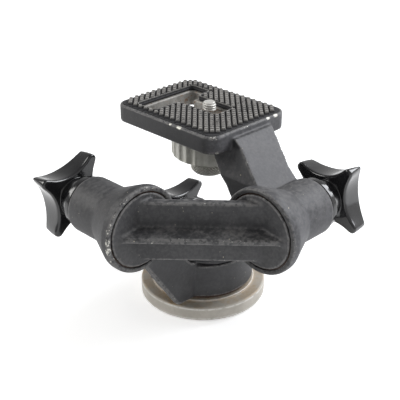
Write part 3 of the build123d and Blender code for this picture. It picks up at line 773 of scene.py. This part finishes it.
rubber = Finish("toothed_rubber")
z = rubber.along("Z")
crumb = rubber.noise(0.9, 3.0, 0.6)
cloud = rubber.noise(11, 3.0, 0.6)
worn_tip = z.step(sheet_top + 0.35, PAD_TOP - 0.1) * (cloud * 0.5 + crumb * 0.8).step(0.38, 0.72)
colour = rubber.mix(crumb, RUBBER_DEEP, RUBBER_WORN)
colour = rubber.mix(worn_tip * 0.9, colour, TIP_GREY)
crust = rubber.specks(5.0, 0.3, 0.2) * z.step(sheet_top + 0.2, PAD_TOP)
colour = rubber.mix(crust, colour, CRUST)
rubber_finish = rubber.close(colour, 0.75, rubber.bump(crumb, 0.08))


def open_tree(name, inputs, output):
    """A geometry node tree with named inputs and one output, and its inputs as links."""
    tree = bpy.data.node_groups.new(name, "GeometryNodeTree")
    for label, kind in inputs.items():
        tree.interface.new_socket(name=label, in_out="INPUT", socket_type="NodeSocket" + kind)
    tree.interface.new_socket(name=output, in_out="OUTPUT", socket_type="NodeSocketGeometry")
    plan = Graph(tree)
    given = tree.nodes.new("NodeGroupInput")
    return plan, [Link(plan, given.outputs[i]) for i in range(len(inputs))]


def close_tree(plan, parts, finish):
    """Joins the parts as plain geometry in one finish, and ends the tree."""
    whole = plan.node("GeometryNodeJoinGeometry")
    for part in parts:
        plan.tree.links.new(part.socket, whole.socket.node.inputs[0])
    real = plan.node("GeometryNodeRealizeInstances", {}, {0: whole})
    real = plan.node("GeometryNodeSetMaterial", {}, {"Geometry": real, "Material": finish})
    end = plan.tree.nodes.new("NodeGroupOutput")
    plan.tree.links.new(real.socket, end.inputs[0])


plan, (sheet_in, stagger, tooth_h, teeth_finish) = open_tree(
    "teeth", {"Sheet": "Geometry", "Stagger": "Float", "Tooth Height": "Float",
              "Finish": "Material"}, "Toothed")
middle_x, middle_y = (PAD_X0 + PAD_X1) / 2, (PAD_Y0 + PAD_Y1) / 2
field = plan.node("GeometryNodeMeshGrid", {}, {
    "Vertices X": TEETH_X, "Vertices Y": TEETH_Y,
    "Size X": stagger * (TEETH_X - 1), "Size Y": stagger * (TEETH_Y - 1)})
field = plan.node("GeometryNodeTransform", {}, {
    "Geometry": field, "Translation": (middle_x * MM, middle_y * MM, sheet_top * MM)})
at = plan.node("GeometryNodeInputPosition")
px = plan.node("ShaderNodeSeparateXYZ", {}, {0: at}, out=0) * IN_MM
py = plan.node("ShaderNodeSeparateXYZ", {}, {0: at}, out=1) * IN_MM


def inside(x0, x1, y0, y1):
    """1 inside a rectangle, by comparing a point's coordinates."""
    return (px.sum("GREATER_THAN", x0) * px.sum("LESS_THAN", x1)
            * py.sum("GREATER_THAN", y0) * py.sum("LESS_THAN", y1))


margin = LIP_W + TOOTH_CLEAR
clear = WINDOW_W / 2 + margin
across = inside(LEG1_X0 - margin, LEG1_X1 + margin, LEG1_Y - clear, LEG1_Y + clear)
forward = inside(SCREW_X - clear, SCREW_X + clear, LEG2_Y0 - margin, LEG1_Y)
near_x = (px - middle_x).sum("ABSOLUTE").sum("GREATER_THAN", (PAD_X1 - PAD_X0) / 2 - CORNER_GAP)
near_y = (py - middle_y).sum("ABSOLUTE").sum("GREATER_THAN", (PAD_Y1 - PAD_Y0) / 2 - CORNER_GAP)
# with an odd count of rows, every other point of the field is every other one both ways
skipped = plan.node("GeometryNodeInputIndex").sum("MODULO", 2.0)
left_out = across.most(forward).most(near_x * near_y).most(skipped)
kept = (1 - left_out).sum("GREATER_THAN", 0.5)
spots = plan.node("GeometryNodeMeshToPoints", {}, {"Mesh": field, "Selection": kept})
to_corner = math.sqrt(2) * MM
tooth = plan.node("GeometryNodeMeshCone", {"fill_type": "NGON"}, {
    "Vertices": 4, "Radius Top": TOOTH_TIP * to_corner, "Radius Bottom": TOOTH_FOOT * to_corner,
    "Depth": tooth_h})
rows_of_teeth = plan.node("GeometryNodeInstanceOnPoints", {}, {"Points": spots, "Instance": tooth})
close_tree(plan, (sheet_in, rows_of_teeth), teeth_finish)


def grown(data, tree, inputs):
    """The plain mesh that a tree makes from a mesh."""
    holder = shown("grown", data)
    change = holder.modifiers.new("grown", "NODES")
    change.node_group = tree
    for item in tree.interface.items_tree:
        if item.in_out == "INPUT" and item.name in inputs:
            change[item.identifier] = inputs[item.name]
    return finished_mesh(holder)


pad = grown(sheet, plan.tree, {
    "Stagger": STAGGER * MM, "Tooth Height": TOOTH_H * MM, "Finish": rubber_finish})
piece("toothed_pad", pad, rubber_finish, "platform", "platform_pad")

# ---------------------------------------------------------------- slot slider
# A steel block that runs in the slot and keeps the camera screw and its wheel upright.
# It has stained where it shows in the opening, and has a nylon washer.
STAIN_GREY = (0.17, 0.16, 0.14)
STAIN_RUST = (0.20, 0.10, 0.045)
worn_steel = Finish("stained_steel")
spot = worn_steel.noise(2.2, 3.0, 0.6)
stained = worn_steel.mix(spot.step(0.4, 0.65), STAIN_GREY, STAIN_RUST)
stained_finish = worn_steel.close(stained, 0.5, worn_steel.bump(spot, 0.03), 0.7)
dress("slot_slider", stained_finish)
dress("slider_washer", nylon_finish)

# ---------------------------------------------------------------- camera lock wheel
# A broad plated wheel under the platform with shallow scalloped flutes, which locks the
# slider in the slot.
WHEEL_R = 17.8
WHEEL_BOTTOM = 65.5
WHEEL_TOP = 77.4
WHEEL_FLUTES = 22
FLUTE_R = 3.2
FLUTE_DEPTH = 0.7
FLUTE_POINTS = 14
FLUTE_BLEND = 0.35
WHEEL_BORE = 6.6
WHEEL_EDGE = 0.7
WHEEL_ROUND = 0.35
WHEEL_STEP = 1.2
BORE_CLEAR = 2.0
PLATING_DULL = (0.37, 0.365, 0.325)
PLATING_PALE = (0.48, 0.475, 0.435)
PLATING_SPOT = (0.12, 0.10, 0.07)


def fluted():
    """(angle, radius) round the wheel with its round flutes."""
    reach = WHEEL_R + FLUTE_R - FLUTE_DEPTH
    half = math.pi / WHEEL_FLUTES
    count = WHEEL_FLUTES * FLUTE_POINTS
    made = []
    for i in range(count):
        angle = 2 * math.pi * i / count
        off = (angle + half) % (2 * half) - half
        inner = FLUTE_R ** 2 - (reach * math.sin(off)) ** 2
        limit = reach * math.cos(off) - math.sqrt(inner) if inner > 0 else NO_LIMIT
        made.append((angle, limit))
    return made


plated = Finish("satin_plating")
mist = plated.noise(3.5, 3.0, 0.6)
fine = plated.noise(0.5, 2.0, 0.5, (1, 1, 0.2))
colour = plated.mix(mist.step(0.3, 0.7), PLATING_DULL, PLATING_PALE)
colour = plated.mix(plated.specks(3.0, 0.2, 0.35) * 0.6, colour, PLATING_SPOT)
plated_finish = plated.close(colour, 0.36 + fine * 0.14, plated.bump(fine, 0.025), 0.45)
at_screw = Matrix.Translation((SCREW_X * MM, SCREW_Y * MM, 0))
section = [(WHEEL_BORE, WHEEL_BOTTOM), (WHEEL_R - WHEEL_EDGE, WHEEL_BOTTOM),
           (WHEEL_R, WHEEL_BOTTOM + WHEEL_EDGE), (WHEEL_R, WHEEL_TOP - WHEEL_EDGE),
           (WHEEL_R - WHEEL_EDGE, WHEEL_TOP), (WHEEL_BORE, WHEEL_TOP)]
rows = [(p.x, p.y, p.x > WHEEL_BORE + BORE_CLEAR)
        for p in spaced(eased(section, WHEEL_ROUND), WHEEL_STEP)]
wheel = spun(rows, at_screw, outline=fluted(), blend=FLUTE_BLEND)
piece("fluted_lock_wheel", wheel, plated_finish, "lock_wheel", "camera_lock_wheel")

# ---------------------------------------------------------------- camera screw
# A quarter inch stud with a rolled thread, and the small diamond-knurled knob on its
# lower end that turns it.
SCREW_R = 3.175
SCREW_TOP = 90.9
SHANK_R = 2.4
STUD_TAPER = 0.1
STUD_CHAMFER = 0.2
STUD_ROUND = 0.25
STUD_STEP = 1.0
STUD_SIDES = 40
THREAD_PITCH = 1.1
THREAD_DEPTH = 0.55
THREAD_CREST = 0.53
THREAD_START = 0.55
THREAD_SHORT = 1.15
THREAD_STEPS = 40
THREAD_SIDES = 6
SCREW_KNOB_R = 8.7
SCREW_KNOB_BOTTOM = 56.1
SCREW_KNOB_TOP = 65.2
SCREW_KNOB_WALL = 1.0
KNOB_FOOT = 1.6
KNOB_BRIM = 0.4
SCREW_KNOB_ROUND = 0.5
SCREW_KNOB_STEPS = 4
KNURLS = 36
KNURL_DEPTH = 0.55
KNURL_FLAT = 0.45
KNURL_SIDES = 6
KNURL_STEP = 0.22
KNURL_WEAR_ROUNDS = 2
KNURL_WEAR_DEPTH = 0.05
GRIP_START = 1.2
GRIP_FADE = 0.9
THREAD_DULL = (0.50, 0.49, 0.46)
THREAD_BRIGHT = (0.66, 0.65, 0.62)
GROOVE_DARK = (0.10, 0.095, 0.075)
KNURL_BRIGHT = (0.50, 0.49, 0.45)
KNURL_STAIN = (0.16, 0.13, 0.09)

plan, (core_in, root_r, crest, turns, pitch, start, thread_finish) = open_tree(
    "thread", {"Core": "Geometry", "Root Radius": "Float", "Crest": "Float", "Turns": "Float",
               "Pitch": "Float", "Start": "Vector", "Finish": "Material"}, "Threaded")
helix = plan.node("GeometryNodeCurveSpiral", {}, {
    "Resolution": THREAD_STEPS, "Rotations": turns, "Start Radius": root_r, "End Radius": root_r,
    "Height": turns * pitch})
helix = plan.node("GeometryNodeSetCurveNormal", {"mode": "Z_UP"}, {0: helix})
profile = plan.node("GeometryNodeCurvePrimitiveCircle", {"mode": "RADIUS"},
                    {"Resolution": THREAD_SIDES, "Radius": crest})
ridge = plan.node("GeometryNodeCurveToMesh", {}, {
    "Curve": helix, "Profile Curve": profile, "Fill Caps": True})
ridge = plan.node("GeometryNodeTransform", {}, {"Geometry": ridge, "Translation": start})
close_tree(plan, (core_in, ridge), thread_finish)

bright = Finish("bright_thread")
tone = bright.noise(1.2, 2.0)
bright_finish = bright.close(bright.mix(tone, THREAD_DULL, THREAD_BRIGHT), 0.42 + tone * 0.12,
                             bright.bump(tone, 0.02), 0.6)
core_r = SCREW_R - THREAD_DEPTH
hollow_floor = SCREW_KNOB_BOTTOM + SCREW_KNOB_WALL
core = [(0, hollow_floor + HAIR), (SHANK_R, hollow_floor + HAIR), (SHANK_R, PAD_FLOOR),
        (core_r, PAD_FLOOR + STUD_TAPER), (core_r, SCREW_TOP - STUD_CHAMFER),
        (core_r - STUD_CHAMFER, SCREW_TOP), (0, SCREW_TOP)]
rows = [(p.x, p.y, False) for p in spaced(eased(core, STUD_ROUND), STUD_STEP)]
stud = grown(spun(rows, at_screw, STUD_SIDES), plan.tree, {
    "Root Radius": (core_r + HAIR) * MM, "Crest": THREAD_CREST * MM, "Pitch": THREAD_PITCH * MM,
    "Turns": (SCREW_TOP - PAD_FLOOR - THREAD_SHORT) / THREAD_PITCH,
    "Start": (SCREW_X * MM, SCREW_Y * MM, (PAD_FLOOR + THREAD_START) * MM), "Finish": bright_finish})
stud.shade_smooth()
piece("threaded_camera_screw", stud, bright_finish, "screw", "camera_screw")

section = [(0, SCREW_KNOB_BOTTOM), (SCREW_KNOB_R - KNOB_FOOT, SCREW_KNOB_BOTTOM),
           (SCREW_KNOB_R, SCREW_KNOB_BOTTOM + KNOB_FOOT), (SCREW_KNOB_R, SCREW_KNOB_TOP - KNOB_BRIM),
           (SCREW_KNOB_R - KNOB_BRIM, SCREW_KNOB_TOP), (SHANK_R, SCREW_KNOB_TOP),
           (SHANK_R, hollow_floor), (0, hollow_floor)]
eased_section = eased(section, SCREW_KNOB_ROUND, SCREW_KNOB_STEPS)
rows = [(p.x, p.y, False) for p in spaced(eased_section, KNURL_STEP)]
knurled = spun(rows, at_screw, KNURLS * KNURL_SIDES)
for vertex in knurled.vertices:
    place = vertex.co - at_screw.translation
    radius = math.hypot(place.x, place.y) / MM
    grip = min(1.0, max(0.0, (radius - SCREW_KNOB_R + GRIP_START) / GRIP_FADE))
    if grip > 0:
        turn = math.atan2(place.y, place.x) * KNURLS / (2 * math.pi)
        climb = place.z / MM * KNURLS / (2 * math.pi * SCREW_KNOB_R)
        cut = max(abs((turn + climb) % 1 - 0.5), abs((turn - climb) % 1 - 0.5)) * 2
        groove = max(0.0, (cut - KNURL_FLAT) / (1 - KNURL_FLAT))
        deep = 1 - KNURL_DEPTH / SCREW_KNOB_R * grip * groove
        vertex.co.x = at_screw.translation.x + place.x * deep
        vertex.co.y = at_screw.translation.y + place.y * deep
knurled.update()
mark_edges(knurled, KNURL_WEAR_ROUNDS, KNURL_WEAR_DEPTH)
gripped = Finish("knurled_plating")
# darker in the knurl's grooves and lighter on its ridges, from the mesh's edge mark
ridge = gripped.worn().step(-0.6, 0.9)
dirt = gripped.noise(2.5, 3.0)
colour = gripped.mix(ridge, GROOVE_DARK, KNURL_BRIGHT)
colour = gripped.mix(dirt.step(0.5, 0.8) * 0.4, colour, KNURL_STAIN)
gripped_finish = gripped.close(colour, 0.45, None, 0.4)
piece("knurled_screw_knob", knurled, gripped_finish, "screw", "camera_screw_knob")

# ---------------------------------------------------------------- floor, light and camera
# A white table top under a white surrounding that is brighter on the right, a broad soft
# lamp on the right and a weaker one on the left.
FLOOR_REACH = 6.0
TABLE_Z = -0.0002
PAPER_WHITE = 0.82
PAPER_GLOW = 0.42
FILL_LEFT = 0.48
FILL_RIGHT = 0.48
FILL_ABOVE = 0.33
SENSOR_W = 36.0
LENS = 76.56
CAMERA_AT = (-0.25252, -0.25051, 0.22715)
CAMERA_AIM = (-0.001006, 0.001006, 0.047427)
table = bpy.data.meshes.new("table")
table.from_pydata([(x * FLOOR_REACH, y * FLOOR_REACH, TABLE_Z)
                   for x, y in ((-1, -1), (1, -1), (1, 1), (-1, 1))], [], [(0, 1, 2, 3)])
table_top = shown("table", table)
paper = bpy.data.materials.new("white_paper")
paper.use_nodes = True
paper.node_tree.nodes.clear()
white = Graph(paper.node_tree)
matt = white.node("ShaderNodeBsdfDiffuse", {}, {"Color": (PAPER_WHITE,) * 3 + (1,)})
ray = white.node("ShaderNodeLightPath")
seen = ray
for output in ray.socket.node.outputs:
    if output.name in ("Is Glossy Ray", "Is Transmission Ray"):
        seen = seen.most(Link(white, output))
glow = white.node("ShaderNodeEmission", {}, {"Color": (1, 1, 1, 1), "Strength": seen * PAPER_GLOW})
both = white.node("ShaderNodeAddShader", {}, {0: matt, 1: glow})
white.node("ShaderNodeOutputMaterial", {}, {"Surface": both})
table.materials.append(paper)

world = bpy.data.worlds.new("studio")
bpy.context.scene.world = world
world.use_nodes = True
world.node_tree.nodes.clear()
sky = Graph(world.node_tree)
ray = sky.node("ShaderNodeLightPath")
way = sky.node("ShaderNodeTexCoord", out=0)
east, north, up = (sky.node("ShaderNodeSeparateXYZ", {}, {0: way}, out=i) for i in range(3))
fill = FILL_LEFT + (east - north).step(-1.4, 1.4) * FILL_RIGHT - up.step(0.1, 0.9) * FILL_ABOVE
strength = ray + (1 - ray) * fill
air = sky.node("ShaderNodeBackground", {}, {"Color": (1, 1, 1, 1), "Strength": strength})
sky.node("ShaderNodeOutputWorld", {}, {"Surface": air})


def lamp(name, place, target, side, power, tint):
    """A square soft lamp that shines on a target."""
    light = bpy.data.lights.new(name, "AREA")
    light.shape = "RECTANGLE"
    light.size = light.size_y = side
    light.energy = power
    light.color = tint
    holder = shown(name, light)
    holder.location = place
    holder.rotation_euler = (Vector(target) - Vector(place)).to_track_quat("-Z", "Y").to_euler()


lamp("right_box", (0.55, -0.25, 0.55), (0, 0, 0.05), 0.5, 7.0, (0.94, 0.96, 1.0))
lamp("left_box", (-0.45, 0.45, 0.5), (0, 0, 0.05), 0.4, 3.5, (1.0, 0.99, 0.97))

camera_data = bpy.data.cameras.new("camera")
camera_data.sensor_width = SENSOR_W
camera_data.lens = LENS
camera = shown("camera", camera_data)
camera.location = CAMERA_AT
aim = Vector(CAMERA_AIM) - camera.location
camera.rotation_euler = aim.to_track_quat("-Z", "Y").to_euler()
bpy.context.scene.camera = camera
bpy.context.scene.view_settings.view_transform = "Standard"
